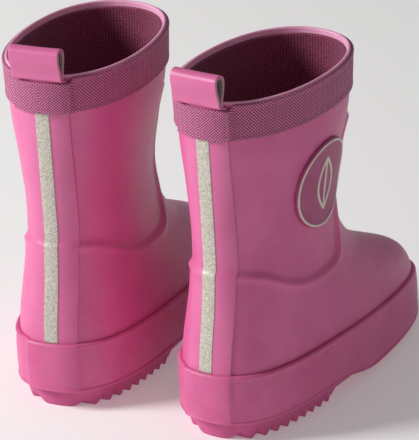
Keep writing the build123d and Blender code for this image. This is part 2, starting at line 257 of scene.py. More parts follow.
# A mesh from a grid of points in the boot's own frame, with its lengths in millimetres as UV map.
def layPiece(name, side, points, closedRows=False, closedColumns=False, capped=False):
    rows, columns = points.shape[:2]
    across = points if not closedColumns else np.concatenate((points, points[:, :1]), axis=1)
    along = points if not closedRows else np.concatenate((points, points[:1]), axis=0)
    u, v = runLengths(across, 1), runLengths(along, 0)
    i, j = np.meshgrid(
        np.arange(rows if closedRows else rows - 1),
        np.arange(columns if closedColumns else columns - 1),
        indexing="ij",
    )
    i, j = i.ravel(), j.ravel()
    corners = [(i, j), (i, j + 1), (i + 1, j + 1), (i + 1, j)]
    if side == "left":
        corners.reverse()
    faces = np.stack([(a % rows) * columns + b % columns for a, b in corners], axis=1).tolist()
    marks = np.stack([np.stack((u[b], v[a]), axis=1) for a, b in corners], axis=1).reshape(-1, 2)
    if capped:
        first, last = list(range(columns)), list(range((rows - 1) * columns, rows * columns))
        caps = (first[::-1], last) if side == "right" else (first, last[::-1])
        faces.extend(caps)
        marks = np.vstack((marks, np.zeros((2 * columns, 2))))
    mesh = bpy.data.meshes.new(f"{side}.{name}")
    mesh.from_pydata(standOn(points, side).reshape(-1, 3).tolist(), [], faces)
    mesh.uv_layers.new(name="run").uv.foreach_set("vector", marks.astype(np.float32).ravel())
    mesh.polygons.foreach_set("use_smooth", np.ones(len(mesh.polygons), bool))
    mesh.update()
    piece = bpy.data.objects.new(f"{side}.{name}", mesh)
    bpy.context.scene.collection.objects.link(piece)
    return piece


def finishPiece(piece, material, slotName, body, *nodes):
    if material:
        piece.data.materials.append(material)
    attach(piece, body)
    if nodes:
        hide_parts(*nodes)


# Materials


# An sRGB hex colour as the linear values that the shader takes.
def toLinear(hexColour):
    channels = [int(hexColour[i:i + 2], 16) / 255 for i in (1, 3, 5)]
    linear = [c / 12.92 if c <= 0.04045 else ((c + 0.055) / 1.055) ** 2.4 for c in channels]
    return (*linear, 1.0)


# One node with its settings and the sockets that feed it.
def addNode(tree, kind, settings=(), links=()):
    node = tree.nodes.new(kind)
    for key, value in dict(settings).items():
        if isinstance(key, str) and hasattr(node, key):
            setattr(node, key, value)
        else:
            node.inputs[key].default_value = value
    for key, source in dict(links).items():
        tree.links.new(source, node.inputs[key])
    return node


# A material with its shader set from look, and the shader itself.
def newMaterial(name, look):
    material = bpy.data.materials.new(name)
    material.use_nodes = True
    tree = material.node_tree
    shader = tree.nodes["Principled BSDF"]
    shader.inputs["Base Color"].default_value = toLinear(look["colour"])
    shader.inputs["Roughness"].default_value = look["roughness"]
    shader.inputs["IOR"].default_value = look["ior"]
    shader.inputs["Metallic"].default_value = look.get("metallic", 0.0)
    shader.inputs["Coat Weight"].default_value = look.get("coat", 0.0)
    shader.inputs["Coat Roughness"].default_value = look.get("coatRoughness", 0.3)
    shader.inputs["Subsurface Weight"].default_value = look.get("scatter", 0.0)
    shader.inputs["Subsurface Scale"].default_value = look.get("scatterDepth", 0.002)
    shader.inputs["Sheen Weight"].default_value = look.get("sheen", 0.0)
    shader.inputs["Sheen Roughness"].default_value = look.get("sheenRoughness", 0.5)
    return material, tree, shader


# Shows a pattern: tint takes the colour from dark to light as it goes from low to high, and relief raises it
def showPattern(tree, shader, look, tint, relief, low, high):
    ramp = addNode(tree, "ShaderNodeValToRGB", {}, {"Fac": tint})
    for element, place, colour in zip(ramp.color_ramp.elements, (low, high), (look["dark"], look["light"])):
        element.position = place
        element.color = toLinear(colour)
    bump = addNode(tree, "ShaderNodeBump", {"Strength": 1.0, "Distance": look["depth"]}, {"Height": relief})
    tree.links.new(ramp.outputs["Color"], shader.inputs["Base Color"])
    tree.links.new(bump.outputs["Normal"], shader.inputs["Normal"])


def mouldedRubber(name, look):
    # Natural rubber, laid up by hand and cured: an even satin with a faint cloudiness and fine dust of bloom
    material, tree, shader = newMaterial(name, look)
    place = addNode(tree, "ShaderNodeTexCoord")
    cloud = addNode(
        tree, "ShaderNodeTexNoise",
        {"Scale": 1000 / look["cloudSize"], "Detail": 5.0, "Roughness": 0.6},
        {"Vector": place.outputs["Object"]},
    )
    rough = addNode(
        tree, "ShaderNodeMapRange",
        {"To Min": look["roughness"] - 0.06, "To Max": look["roughness"] + 0.08},
        {"Value": cloud.outputs["Fac"]},
    )
    tree.links.new(rough.outputs["Result"], shader.inputs["Roughness"])
    grain = addNode(
        tree, "ShaderNodeTexNoise",
        {"Scale": 1000 / look["grainSize"], "Detail": 3.0, "Roughness": 0.55},
        {"Vector": place.outputs["Object"]},
    )
    showPattern(tree, shader, look, cloud.outputs["Fac"], grain.outputs["Fac"], 0.3, 0.7)
    return material


rubberLooks = {
    "pinkRubber": {
        "colour": "#D9649A", "dark": "#D45C94", "light": "#DF6FA3", "roughness": 0.42, "ior": 1.52,
        "scatter": 0.10, "scatterDepth": 0.003, "cloudSize": 26.0, "grainSize": 0.9, "depth": 0.00002,
    },
    "foxingRubber": {
        "colour": "#D55F95", "dark": "#CF568D", "light": "#DA689C", "roughness": 0.45, "ior": 1.52,
        "scatter": 0.10, "scatterDepth": 0.003, "cloudSize": 20.0, "grainSize": 1.0, "depth": 0.00003,
    },
    "outsoleRubber": {
        "colour": "#C9528A", "dark": "#BE487F", "light": "#D05C93", "roughness": 0.55, "ior": 1.52,
        "scatter": 0.06, "scatterDepth": 0.002, "cloudSize": 14.0, "grainSize": 0.8, "depth": 0.00005,
    },
    "stripRubber": {
        "colour": "#DC6CA0", "dark": "#D8669B", "light": "#E073A6", "roughness": 0.4, "ior": 1.52,
        "scatter": 0.10, "scatterDepth": 0.003, "cloudSize": 22.0, "grainSize": 0.8, "depth": 0.00002,
    },
    "cutEdgeRubber": {
        "colour": "#F2A6CB", "dark": "#EE9DC5", "light": "#F5B0D1", "roughness": 0.5, "ior": 1.52,
        "scatter": 0.15, "scatterDepth": 0.003, "cloudSize": 9.0, "grainSize": 0.8, "depth": 0.00003,
    },
    "badgeRubber": {
        "colour": "#B4537F", "dark": "#AC4B78", "light": "#BA5B87", "roughness": 0.5, "ior": 1.52,
        "scatter": 0.05, "scatterDepth": 0.002, "cloudSize": 12.0, "grainSize": 0.7, "depth": 0.00003,
    },
    "badgeTrim": {
        "colour": "#E6DCD0", "dark": "#DDD2C5", "light": "#ECE4DA", "roughness": 0.5, "ior": 1.5,
        "scatter": 0.1, "scatterDepth": 0.001, "cloudSize": 6.0, "grainSize": 0.5, "depth": 0.00002,
    },
}
finishes = {name: mouldedRubber(name, look) for name, look in rubberLooks.items()}


# Lengths along a piece and across it, in millimetres, as two sockets.
def millimetres(tree):
    run = addNode(tree, "ShaderNodeUVMap", {"uv_map": "run"})
    apart = addNode(tree, "ShaderNodeSeparateXYZ", {}, {"Vector": run.outputs["UV"]})
    return run.outputs["UV"], apart.outputs["X"], apart.outputs["Y"]


# A rise and fall from 0 to 1 every pitch millimetres along source.
def wave(tree, source, pitch):
    scaled = addNode(tree, "ShaderNodeMath", {"operation": "MULTIPLY", 1: 2 * math.pi / pitch}, {0: source})
    swing = addNode(tree, "ShaderNodeMath", {"operation": "SINE"}, {0: scaled.outputs[0]})
    lifted = addNode(tree, "ShaderNodeMath", {"operation": "MULTIPLY_ADD", 1: 0.5, 2: 0.5}, {0: swing.outputs[0]})
    return lifted.outputs[0]


def wovenTape():
    # Woven polyester binding: bright ribs on the slant with dark gaps between them.
    # Real ribs are under 1 mm apart, and are drawn coarser so that they show.
    look = {
        "colour": "#CE4F8E", "dark": "#731E49", "light": "#F688BC", "roughness": 0.62, "ior": 1.53,
        "sheen": 0.25, "sheenRoughness": 0.4, "pitch": 1.82, "depth": 0.0003,
    }
    material, tree, shader = newMaterial("wovenTape", look)
    _, along, across = millimetres(tree)
    slant = addNode(tree, "ShaderNodeMath", {"operation": "ADD"}, {0: along, 1: across})
    counter = addNode(tree, "ShaderNodeMath", {"operation": "SUBTRACT"}, {0: along, 1: across})
    ribs = wave(tree, slant.outputs[0], look["pitch"])
    picks = wave(tree, counter.outputs[0], look["pitch"])
    weave = addNode(tree, "ShaderNodeMath", {"operation": "MULTIPLY"}, {0: ribs, 1: picks})
    showPattern(tree, shader, look, weave.outputs[0], weave.outputs[0], 0.02, 0.42)
    return material


def knitLining():
    # Brushed cotton and polyester knit: vertical columns of loops, flecked where the loops catch the light.
    # The loops are drawn nearly twice as coarse as real ones so that they show.
    look = {
        "colour": "#7A1F45", "dark": "#4A0A26", "light": "#C04276", "roughness": 0.85, "ior": 1.5,
        "sheen": 0.25, "sheenRoughness": 0.5, "wale": 1.5, "course": 1.2, "depth": 0.0004, "fleckSize": 1.2,
    }
    material, tree, shader = newMaterial("knitLining", look)
    run, along, across = millimetres(tree)
    wales = wave(tree, along, look["wale"])
    courses = wave(tree, across, look["course"])
    knit = addNode(tree, "ShaderNodeMath", {"operation": "MULTIPLY"}, {0: wales, 1: courses})
    fleck = addNode(tree, "ShaderNodeTexNoise", {"Scale": 1 / look["fleckSize"], "Detail": 4.0, "Roughness": 0.75},
                    {"Vector": run})
    softened = addNode(tree, "ShaderNodeMath", {"operation": "MULTIPLY_ADD", 1: 0.5, 2: 0.5}, {0: knit.outputs[0]})
    flecked = addNode(tree, "ShaderNodeMath", {"operation": "MULTIPLY"},
                      {0: softened.outputs[0], 1: fleck.outputs["Fac"]})
    showPattern(tree, shader, look, flecked.outputs[0], flecked.outputs[0], 0.22, 0.56)
    return material


def loopWebbing():
    # Undyed cotton tape: a grey-beige rib weave
    look = {
        "colour": "#A39A8E", "dark": "#7F766C", "light": "#BDB4A8", "roughness": 0.85, "ior": 1.5,
        "sheen": 0.2, "sheenRoughness": 0.5, "pitch": 1.1, "depth": 0.0002,
    }
    material, tree, shader = newMaterial("loopWebbing", look)
    _, along, across = millimetres(tree)
    ribs = wave(tree, along, look["pitch"])
    picks = wave(tree, across, look["pitch"])
    weave = addNode(tree, "ShaderNodeMath", {"operation": "MULTIPLY"}, {0: ribs, 1: picks})
    showPattern(tree, shader, look, weave.outputs[0], weave.outputs[0], 0.05, 0.6)
    return material


def beadedTape():
    # Retro-reflective tape: glass beads in a silver-grey binder, so it sparkles in fine specks.
    # Real beads are far under 0.1 mm, and are drawn as coarse specks so that they show.
    look = {
        "colour": "#C9C2B4", "dark": "#A8A091", "light": "#DAD4C8", "roughness": 0.5, "ior": 1.5,
        "metallic": 0.15, "coat": 0.3, "coatRoughness": 0.25, "speckSize": 0.9, "depth": 0.0001,
    }
    material, tree, shader = newMaterial("beadedTape", look)
    place = addNode(tree, "ShaderNodeTexCoord")
    beads = addNode(tree, "ShaderNodeTexNoise", {"Scale": 1000 / look["speckSize"], "Detail": 3.0, "Roughness": 0.8},
                    {"Vector": place.outputs["Object"]})
    showPattern(tree, shader, look, beads.outputs["Fac"], beads.outputs["Fac"], 0.38, 0.6)
    return material


def feltFootbed():
    # Needled felt: matt, with short fibres lying every way, drawn as coarser tufts so that they show
    look = {
        "colour": "#9C5F7A", "dark": "#8A4E69", "light": "#AD728B", "roughness": 0.95, "ior": 1.5,
        "sheen": 0.4, "sheenRoughness": 0.5, "fibreSize": 1.4, "depth": 0.0002,
    }
    material, tree, shader = newMaterial("feltFootbed", look)
    place = addNode(tree, "ShaderNodeTexCoord")
    fibres = addNode(tree, "ShaderNodeTexNoise",
                     {"Scale": 1000 / look["fibreSize"], "Detail": 6.0, "Roughness": 0.7, "Distortion": 0.6},
                     {"Vector": place.outputs["Object"]})
    showPattern(tree, shader, look, fibres.outputs["Fac"], fibres.outputs["Fac"], 0.35, 0.65)
    return material


for makeFinish in (wovenTape, knitLining, loopWebbing, beadedTape, feltFootbed):
    finishes[makeFinish.__name__] = makeFinish()
print("materials made:", len(finishes))


# Upper: one moulded skin, with the second rubber layer showing as a soft step


upper = {
    "bottom": 12.0,
    "rows": 190,
    "insideRows": 40,
    "rimRows": 9,
    "columns": 340,
    "spacedAt": 60.0,  # height at which the columns are evenly spaced
    "smoothTop": 8.0,  # below the rim, under the tape
    "edgeSoftness": 4.2,  # how wide the covered edge of the second layer spreads
    "edgeRoll": 0.7,  # the ridge along that edge
    "stepHeight": 1.3,
    "backHeight": 93.0,  # the second layer's edge, at the back
    "sideHeight": 76.0,
    "frontHeight": 152.0,
    "sideAt": 72.0,
    "turn": 90.0,
    "rise": (97.0, 108.0),
    "lean": 9.0,
    "edgePoints": 24,
    "backEnd": -20.0,  # the edge line runs on past the boot at both ends
    "frontEnd": 160.0,
    "unevenness": 0.22,  # hand lay-up
}


# Points along a cubic curve, its first end included and its last one not
def curve(ends, count):
    t = np.linspace(0, 1, count, endpoint=False)[:, None]
    a, b, c, d = (np.array(end) for end in ends)
    return (1 - t) ** 3 * a + 3 * t * (1 - t) ** 2 * b + 3 * t**2 * (1 - t) * c + t**3 * d


# The second layer's edge seen from the side: round the back, down to the side, then up the front.
def overlayEdge():
    u = upper
    heel, side, rise = bootForm["ankleBack"], u["sideAt"], u["rise"]
    back, low, top = u["backHeight"], u["sideHeight"], u["frontHeight"]
    down = curve(((heel, back), (side / 2, back), (side / 2, low), (side, low)), u["edgePoints"])
    up = curve(((side, low), (u["turn"], low), (mix(u["turn"], rise[0], 0.5), low), rise), u["edgePoints"])
    front = (rise, (rise[0] + u["lean"], top), (u["frontEnd"], top))
    return np.vstack((((u["backEnd"], back),), down, up, front))


# 0 above the second layer's edge, 1 under it, and the ridge between them.
def overlayShare(points):
    edge = overlayEdge()
    flat = points[..., 1:3].reshape(-1, 2)
    distance = np.full(len(flat), 1e9)
    for start, end in zip(edge[:-1], edge[1:]):
        run = end - start
        share = np.clip(((flat - start) @ run) / (run @ run), 0, 1)[:, None]
        distance = np.minimum(distance, np.linalg.norm(flat - start - share * run, axis=1))
    under = flat[:, 1] < np.interp(flat[:, 0], edge[:, 0], edge[:, 1])
    signed = np.where(under, distance, -distance) / upper["edgeSoftness"]
    share = ease(signed + 0.5)
    ridge = np.exp(-((signed - 0.35) / 0.55) ** 2)
    return share.reshape(points.shape[:-1]), ridge.reshape(points.shape[:-1])


# Slight unevenness of rubber laid up by hand: slow waves whose lengths share no common step
def handLaid(points, amount):
    x, y, z = np.moveaxis(points, -1, 0)
    return amount * (
        0.5 * np.sin(x / 17 + z / 23)
        + 0.35 * np.sin(y / 13 - z / 31 + 1.1)
        + 0.25 * np.sin(x / 9 - y / 19 + z / 11)
    )


# How far the second layer lifts the surface at a place.
def overlayGrow(turn, height):
    share, ridge = overlayShare(skin(turn, height, 0.0))
    return share * upper["stepHeight"] + ridge * upper["edgeRoll"] * 0.3  # pressed flat under the strip


def makeUpper(side):
    rim = bootForm["rimHeight"]
    wall = layers["shellWall"]
    u = upper
    turn = evenTurns(u["columns"], u["spacedAt"])[None, :]
    height = np.linspace(u["bottom"], rim - wall / 2, u["rows"])[:, None]
    base = skin(turn, height, 0.0)
    share, ridge = overlayShare(base)
    rough = handLaid(base, u["unevenness"]) * ease((rim - u["smoothTop"] - height) / 20)
    outside = share * u["stepHeight"] + ridge * u["edgeRoll"] + rough
    bend = np.linspace(0, math.pi, u["rimRows"])[1:-1, None]
    overHeight = rim - wall / 2 + wall / 2 * np.sin(bend)
    overGrow = -wall / 2 + wall / 2 * np.cos(bend)
    insideHeight = np.linspace(rim - wall / 2, u["bottom"], u["insideRows"])[:, None]
    allHeights = np.vstack((height, overHeight, insideHeight)) + 0 * turn
    allGrows = np.vstack((outside, overGrow + 0 * turn, np.full((u["insideRows"], turn.size), -wall)))
    points = skin(turn + 0 * allHeights, allHeights, allGrows)
    piece = layPiece("upper", side, points, closedRows=True, closedColumns=True)
    piece.data.materials.append(finishes["pinkRubber"])
    piece.data.materials.append(finishes["cutEdgeRubber"])
    row = np.arange(len(piece.data.polygons)) // turn.size
    trimmed = (row >= u["rows"] - 1) & (row < u["rows"] + u["rimRows"])
    piece.data.polygons.foreach_set("material_index", trimmed.astype(np.int32))
    finishPiece(piece, None, "pink_rubber", f"{side}_boot", f"{side}_upper_shell", f"{side}_ankle_overlay")


lining = {
    "belowRim": 3.0,
    "bottom": 20.3,
    "softTop": 0.4,  # its top edge is rounded over this height
    "innerRows": 110,
    "outerRows": 60,
    "columns": 260,
    "spacedAt": 120.0,
}


def makeLining(side):
    size = lining
    top = bootForm["rimHeight"] - size["belowRim"]
    outerFace = -(layers["shellWall"] + layers["plyWall"])
    innerFace = outerFace - layers["liningWall"]
    turn = evenTurns(size["columns"], size["spacedAt"])[None, :]
    down = np.linspace(top - size["softTop"], size["bottom"], size["innerRows"])[:, None]
    up = np.linspace(size["bottom"], top - size["softTop"], size["outerRows"])[:, None]
    heights = np.vstack((down, up, [[top]])) + 0 * turn
    grows = np.vstack((
        np.full_like(down, innerFace), np.full_like(up, outerFace), [[(innerFace + outerFace) / 2]]
    ))
    points = skin(turn + 0 * heights, heights, grows + 0 * turn)
    piece = layPiece("lining", side, points, closedRows=True, closedColumns=True)
    finishPiece(piece, finishes["knitLining"], "knit_lining", f"{side}_boot", f"{side}_lining")


# Foxing: the thick band round the sole, rolled at its top edge and lipped at its bottom one


foxing = {
    "heelBottom": 11.2,
    "toeBottom": 4.8,
    "archStart": 74.0,
    "archEnd": 113.0,
    "heelTop": 39.3,
    "middleTop": 36.2,
    "toeTop": 28.6,
    "face": 3.4,
    "lip": 0.5,
    "lipHeight": 1.5,
    "bead": 0.35,
    "hump": 0.9,  # where it passes over the back strip
    "formedAt": 20.0,  # height of the sole's outline that its edges follow
    "overrun": 20.0,
    "stripEnd": 30.0,  # the back strip lies behind this
    "stripRamp": 2.4,
    "rollSize": 1.5,  # rounding of its top edge
    "belly": 0.35,
    "unevenness": 0.28,
    "columns": 420,
    "faceRows": 34,
}


# Bottom and top of the foxing at a place along the boot.
def bandEdges(y):
    f = foxing
    drop = ease((y - f["archStart"]) / (f["archEnd"] - f["archStart"]))
    bottom = mix(f["heelBottom"], f["toeBottom"], drop)
    along = (y + f["overrun"]) / (bootForm["soleLength"] + 2 * f["overrun"])
    rise = 2 * (f["heelTop"] - 2 * f["middleTop"] + f["toeTop"])
    top = f["heelTop"] + (f["toeTop"] - f["heelTop"]) * along + rise * along * (along - 1)
    return bottom, top


def makeFoxing(side):
    f = foxing
    turn = evenTurns(f["columns"], bootForm["toeWall"])[None, :]
    sole = skin(turn, f["formedAt"], f["face"])
    bottom, top = bandEdges(sole[..., 1])
    half = strip["width"] / 2
    overStrip = ease((half + f["stripRamp"] - np.abs(sole[..., 0])) / f["stripRamp"])
    overStrip = np.where(sole[..., 1] < f["stripEnd"], overStrip, 0.0)
    roll = np.linspace(0, math.pi / 2, 7)[:, None]
    face = np.linspace(0, 1, f["faceRows"])[:, None]
    lipFace, rollSize = f["face"] + f["lip"], f["rollSize"]
    # height above the bottom edge and reach outwards, round the lip
    lipRows = (
        (0.0, 0.2), (0.0, lipFace - 0.5), (0.25, lipFace - 0.1), (0.7, lipFace),
        (f["lipHeight"] - 0.3, lipFace - 0.05), (f["lipHeight"], f["face"] + 0.1),
    )
    heights, grows = [], []
    for rise, grow in lipRows:
        heights.append(bottom + rise)
        grows.append(np.full_like(bottom, grow))
    low, high = bottom + f["lipHeight"] + 0.5, top - rollSize - 1.0
    faceHeight = low + (high - low) * face
    belly = f["belly"] * np.sin(math.pi * face)
    heights.append(faceHeight)
    grows.append(f["face"] - 0.05 + belly + handLaid(skin(turn, faceHeight, 0.0), f["unevenness"]))
    heights.append(top - rollSize + rollSize * np.sin(roll))
    grows.append(f["face"] + f["bead"] - rollSize * (1 - np.cos(roll)) + 0 * top)
    heights.append(top - 0.6)
    grows.append(np.full_like(bottom, 0.4))
    heights = np.vstack(heights)
    grows = np.vstack(grows)
    raised = np.where(grows > 1.0, grows + f["hump"] * overStrip, grows)
    points = skin(turn + 0 * heights, heights, raised)
    piece = layPiece("foxing", side, points, closedRows=True, closedColumns=True)
    finishPiece(piece, finishes["foxingRubber"], "pink_rubber", f"{side}_boot", f"{side}_foxing_band")


# Back strip and the reflective tape laid down its middle


strip = {"width": 28.4, "bottom": 14.0, "top": 174.0, "edge": 0.35, "rows": 150}
reflector = {"width": 8.0, "bottom": 39.0, "top": 170.0, "edge": 0.15}


# A strip laid on the back of the boot, standing wall above lift, with rounded long edges.
def backBand(side, name, width, bottom, top, lift, wall, edge, rows):
    half = width / 2
    bend = np.linspace(0, math.pi / 2, 5)
    rounded = np.concatenate((half - edge + edge * np.sin(bend), (half,)))
    fall = np.concatenate((wall - edge + edge * np.cos(bend), (-layers["tuck"],)))
    middle = np.linspace(-(half - edge), half - edge, 25)[1:-1]
    x = np.concatenate((-rounded[::-1], middle, rounded))[None, :]
    raised = np.concatenate((fall[::-1], np.full(middle.size, wall), fall))[None, :]
    height = np.linspace(bottom, top, rows)[:, None]
    base = lift(x, height)
    turn = turnAt(0, x, height, base, -1, 1)
    points = skin(turn, height, base + raised)
    points[..., 0] = x
    return layPiece(name, side, points, closedColumns=True, capped=True)


def stripBase(x, height):
    turn = turnAt(0, x, height, 0.0, -1, 1)
    return overlayGrow(turn, height)


def reflectorBase(x, height):
    return stripBase(x, height) + layers["stripWall"]


def makeStrip(side):
    s, r = strip, reflector
    piece = backBand(
        side, "backStrip", s["width"], s["bottom"], s["top"], stripBase, layers["stripWall"], s["edge"], s["rows"]
    )
    finishPiece(piece, finishes["stripRubber"], "pink_rubber", f"{side}_boot", f"{side}_back_strip")
    piece = backBand(
        side, "reflectiveTape", r["width"], r["bottom"], r["top"], reflectorBase, layers["reflectorWall"],
        r["edge"], s["rows"],
    )
    finishPiece(piece, finishes["beadedTape"], "reflective_tape", f"{side}_boot", f"{side}_reflective_tape")


# Binding tape: folded round the rim's outside and over the loop's tails


binding = {
    "height": 20.0,
    "belowRim": 1.0,
    "belowRimAtLoop": 3.5,
    "tentWidth": 30.0,
    "rampWidth": 2.2,
    "backEnd": 40.0,  # the loop's tails lie behind this
    "tailLift": 1.9,  # how far the tails push it out, in thicknesses of the strip
    "seat": 0.06,
    "ribPitch": 1.5,  # drawn coarser than real ribs so that they show
    "ribDepth": 0.14,
    "selvedgeLow": 0.25,
    "selvedgeHigh": 0.2,
    "creaseDepth": 0.35,
    "creaseWidth": 0.9,
    "spacedAt": 180.0,
    "columns": 1080,
    "rows": 52,
}


def makeBinding(side):
    b = binding
    rim = bootForm["rimHeight"]
    turn = evenTurns(b["columns"], b["spacedAt"])[None, :]
    middle = skin(turn, b["spacedAt"], 0.0)
    atBack = middle[..., 1] < b["backEnd"]
    tent = ease((b["tentWidth"] / 2 + b["rampWidth"] - np.abs(middle[..., 0])) / b["rampWidth"])
    tent = np.where(atBack, tent, 0)
    bottom = rim - b["belowRim"] - b["height"] + 0 * turn
    top = rim - mix(b["belowRim"], b["belowRimAtLoop"], tent)
    share = np.linspace(0, 1, b["rows"])[:, None]
    height = bottom + 0.5 + (top - bottom - 1.0) * share
    outer = layers["tapeWall"] + b["seat"] + layers["stripWall"] * b["tailLift"] * tent
    girth = np.linspace(0, runLengths(middle.reshape(1, -1, 3), 1)[-1], b["columns"])[None, :]
    ribStep = 2 * math.pi / (b["ribPitch"] * 1.414)
    ribs = np.sin(ribStep * (girth + height)) * np.sin(ribStep * (girth - height))
    inside = ease(share * 14) * ease((1 - share) * 14)
    selvedge = b["selvedgeLow"] * (1 - ease((share - 0.03) * 12)) + b["selvedgeHigh"] * (1 - ease((0.97 - share) * 12))
    fromCrease = (middle[..., 0] - b["tentWidth"] / 2 - b["rampWidth"]) / b["creaseWidth"]
    crease = -b["creaseDepth"] * np.exp(-fromCrease ** 2) * atBack
    face = outer + b["ribDepth"] * ribs * inside + selvedge + crease
    under = -0.2 + 0 * turn
    rows = [
        (bottom + 0.3, under), (bottom, 0.35 + 0 * turn), (bottom + 0.05, outer - 0.35), (bottom + 0.25, outer - 0.05),
    ]
    ends = [(top - 0.25, outer - 0.05), (top - 0.02, outer - 0.4), (top, 0.5 + 0 * turn), (top - 0.3, under)]
    heights = np.vstack([h for h, g in rows] + [height] + [h for h, g in ends])
    grows = np.vstack([g for h, g in rows] + [face] + [g for h, g in ends])
    points = skin(turn + 0 * heights, heights, grows)
    piece = layPiece("bindingTape", side, points, closedRows=True, closedColumns=True)
    finishPiece(piece, finishes["wovenTape"], "binding_tape", f"{side}_boot", f"{side}_binding_tape")


# Pull loop: a rubber strap folded over its webbing, on its own hinge line


loop = {
    "width": 28.8,
    "rubber": 1.1,
    "webbing": 0.8,
    "depth": 8.4,
    "rise": 16.8,
    "edge": 0.5,
    "webbingEdge": 0.35,
    "webbingInset": 0.2,  # at each side of the strap
    "sag": 0.2,  # how far the middle of the fold dips
    "fitGap": 0.3,
    "hingeHeight": 189.8,
    "steps": 120,
}
hingeForward = bootForm["rimBack"] - loop["fitGap"] - loop["rubber"] - loop["webbing"]


# The loop's side outline seen along its hinge line, moved inwards by inset, evenly spaced.
def loopLine(inset):
    half = loop["rubber"] + loop["webbing"]
    root, belly = half - inset, loop["depth"] / 2 - inset
    shoulder, top = loop["rise"] - loop["depth"] / 2, loop["rise"] - inset
    t = np.linspace(0, 1, 40)[:, None]
    side = (
        (1 - t) ** 3 * np.array((root, 0)) + 3 * t * (1 - t) ** 2 * np.array((root, shoulder * 0.35))
        + 3 * t**2 * (1 - t) * np.array((belly, shoulder * 0.5)) + t**3 * np.array((belly, shoulder))
    )
    bend = np.linspace(0, math.pi, 61)[1:, None]
    crown = np.hstack((belly * np.cos(bend), shoulder + (top - shoulder) * np.sin(bend)))
    foot = np.linspace(math.pi, 2 * math.pi, 21)[1:-1, None]
    under = np.hstack((root * np.cos(foot), root * np.sin(foot)))
    line = np.vstack((side, crown, (side * (-1, 1))[::-1][1:], under, side[:1]))
    length = np.concatenate(([0], np.cumsum(np.linalg.norm(np.diff(line, axis=0), axis=1))))
    even = np.linspace(0, length[-1], loop["steps"], endpoint=False)
    return np.stack([np.interp(even, length, line[:, k]) for k in (0, 1)], axis=1)


# A strap of rounded section carried round the loop's outline.
def foldedStrap(side, name, inset, wall, width, edge):
    line = loopLine(inset + wall / 2)
    along = np.roll(line, -1, axis=0) - np.roll(line, 1, axis=0)
    along /= np.linalg.norm(along, axis=1)[:, None]
    outward = np.stack((along[:, 1], -along[:, 0]), axis=1)
    bend = np.linspace(0, math.pi / 2, 6)
    corner = np.stack((width / 2 - edge + edge * np.sin(bend), wall / 2 - edge + edge * np.cos(bend)), axis=1)
    flat = np.linspace(-(width / 2 - edge), width / 2 - edge, 18)[1:-1]
    face = np.full(flat.size, wall / 2)
    section = np.vstack((
        (corner * (-1, 1))[::-1], np.stack((flat, face), axis=1), corner,
        (corner * (1, -1))[::-1], np.stack((flat[::-1], -face), axis=1), corner * (-1, -1),
    ))
    across, off = section[None, :, 0], section[None, :, 1]
    x = across + 0 * line[:, :1]
    y = hingeForward + line[:, None, 0] + outward[:, None, 0] * off
    z = loop["hingeHeight"] + line[:, None, 1] + outward[:, None, 1] * off
    sag = loop["sag"] * (1 - (across / (width / 2)) ** 2) * ease(line[:, 1:2] / 6)
    points = np.stack((x, y.reshape(x.shape), z.reshape(x.shape) - sag), axis=-1)
    return layPiece(name, side, points, closedRows=True, closedColumns=True)


def makeLoop(side):
    piece = foldedStrap(side, "pullLoop", 0.0, loop["rubber"], loop["width"], loop["edge"])
    finishPiece(piece, finishes["stripRubber"], "pink_rubber", f"{side}_loop", f"{side}_pull_loop")
    width = loop["width"] - 2 * loop["webbingInset"]
    piece = foldedStrap(side, "loopWebbing", loop["rubber"], loop["webbing"], width, loop["webbingEdge"])
    finishPiece(piece, finishes["loopWebbing"], "loop_webbing", f"{side}_loop", f"{side}_loop_webbing")


# Badge on the outer side of the shaft


badge = {
    "forward": 74.0,
    "height": 127.0,
    "radius": 25.0,
    "wall": 2.2,
    "edge": 0.7,
    "ringWidth": 1.2,
    "ringInset": 0.5,
    "ringRise": 0.5,
    "ringEdge": 0.2,
    "sink": 0.5,  # how far each piece reaches into the one below it
    "leafLength": 32.0,
    "leafWidth": 15.0,
    "lineWidth": 1.3,
    "lineEdge": 0.15,
    "ribGap": 2.2,  # from leaf tip to rib end, in line widths
}


# Points on the outer side of the shaft over a place seen from the side.
def onSide(forward, height, grow):
    turn = turnAt(1, forward, height, grow, 0.05, 1.95)
    return skin(turn, height, grow)


# Rings about the badge's middle: spread(angle, share) gives their offsets, grows their heights.
def badgeGrid(around, spread, grows):
    offsets = np.array([[spread(angle, share) for angle in around] for share, _ in grows])
    forward = badge["forward"] + offsets[..., 0]
    height = badge["height"] + offsets[..., 1]
    grow = np.array([g for _, g in grows])[:, None] + 0 * forward
    points = onSide(forward, height, 0.0)
    nearby = onSide(forward + 0.5, height, 0.0) - onSide(forward - 0.5, height, 0.0)
    above = onSide(forward, height + 0.5, 0.0) - onSide(forward, height - 0.5, 0.0)
    out = np.cross(nearby, above)
    out /= np.linalg.norm(out, axis=-1)[..., None]
    return points + out * grow[..., None]


